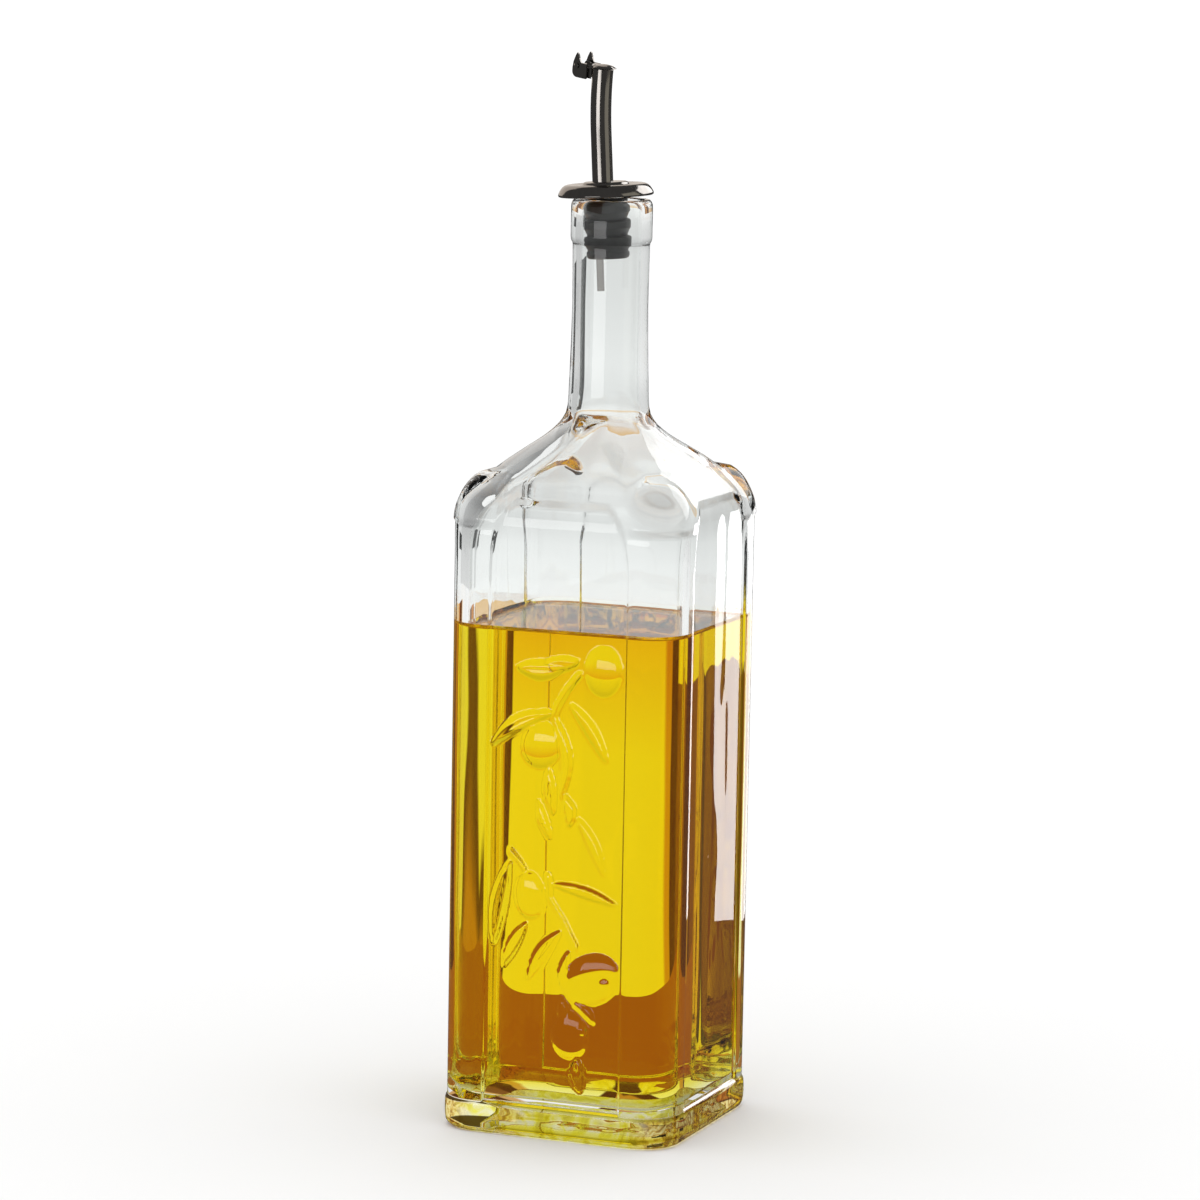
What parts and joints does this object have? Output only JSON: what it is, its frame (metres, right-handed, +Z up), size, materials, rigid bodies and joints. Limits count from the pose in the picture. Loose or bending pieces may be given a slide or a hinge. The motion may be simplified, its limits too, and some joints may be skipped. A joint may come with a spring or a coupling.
{
  "type": "oil cruet",
  "caption": "Square glass bottle of olive oil with an embossed olive branch, sunk panels, a slim neck and a steel pourer with a bent spout under a hinged flap.",
  "frame": {"origin": "centre of the base, on the surface the bottle stands on", "axes": "+Z up along the bottle, the embossed front face looks along -Y"},
  "size_m": [0.081, 0.081, 0.3466],
  "materials": {
    "clear_glass": "clear, fire polished",
    "olive_oil": "clear golden liquid",
    "black_rubber": "satin",
    "polished_steel": "polished"
  },
  "bodies": {
    "cruet": {"bottle": "clear_glass", "oil": "olive_oil", "stopper": "black_rubber", "cap": "polished_steel", "spout": "polished_steel", "air_tube": "polished_steel", "hinge_bracket": "polished_steel", "hinge_pin": "polished_steel"},
    "flap": {"flap": "polished_steel"}
  },
  "joints": [
    {"name": "flap_hinge", "type": "hinge", "parent": "cruet", "child": "flap", "pos_m": [-0.00998, -0.00161, 0.34226], "axis": [-0.3297, -0.9435, -0.0343], "range_deg": [0, 95]}
  ]
}
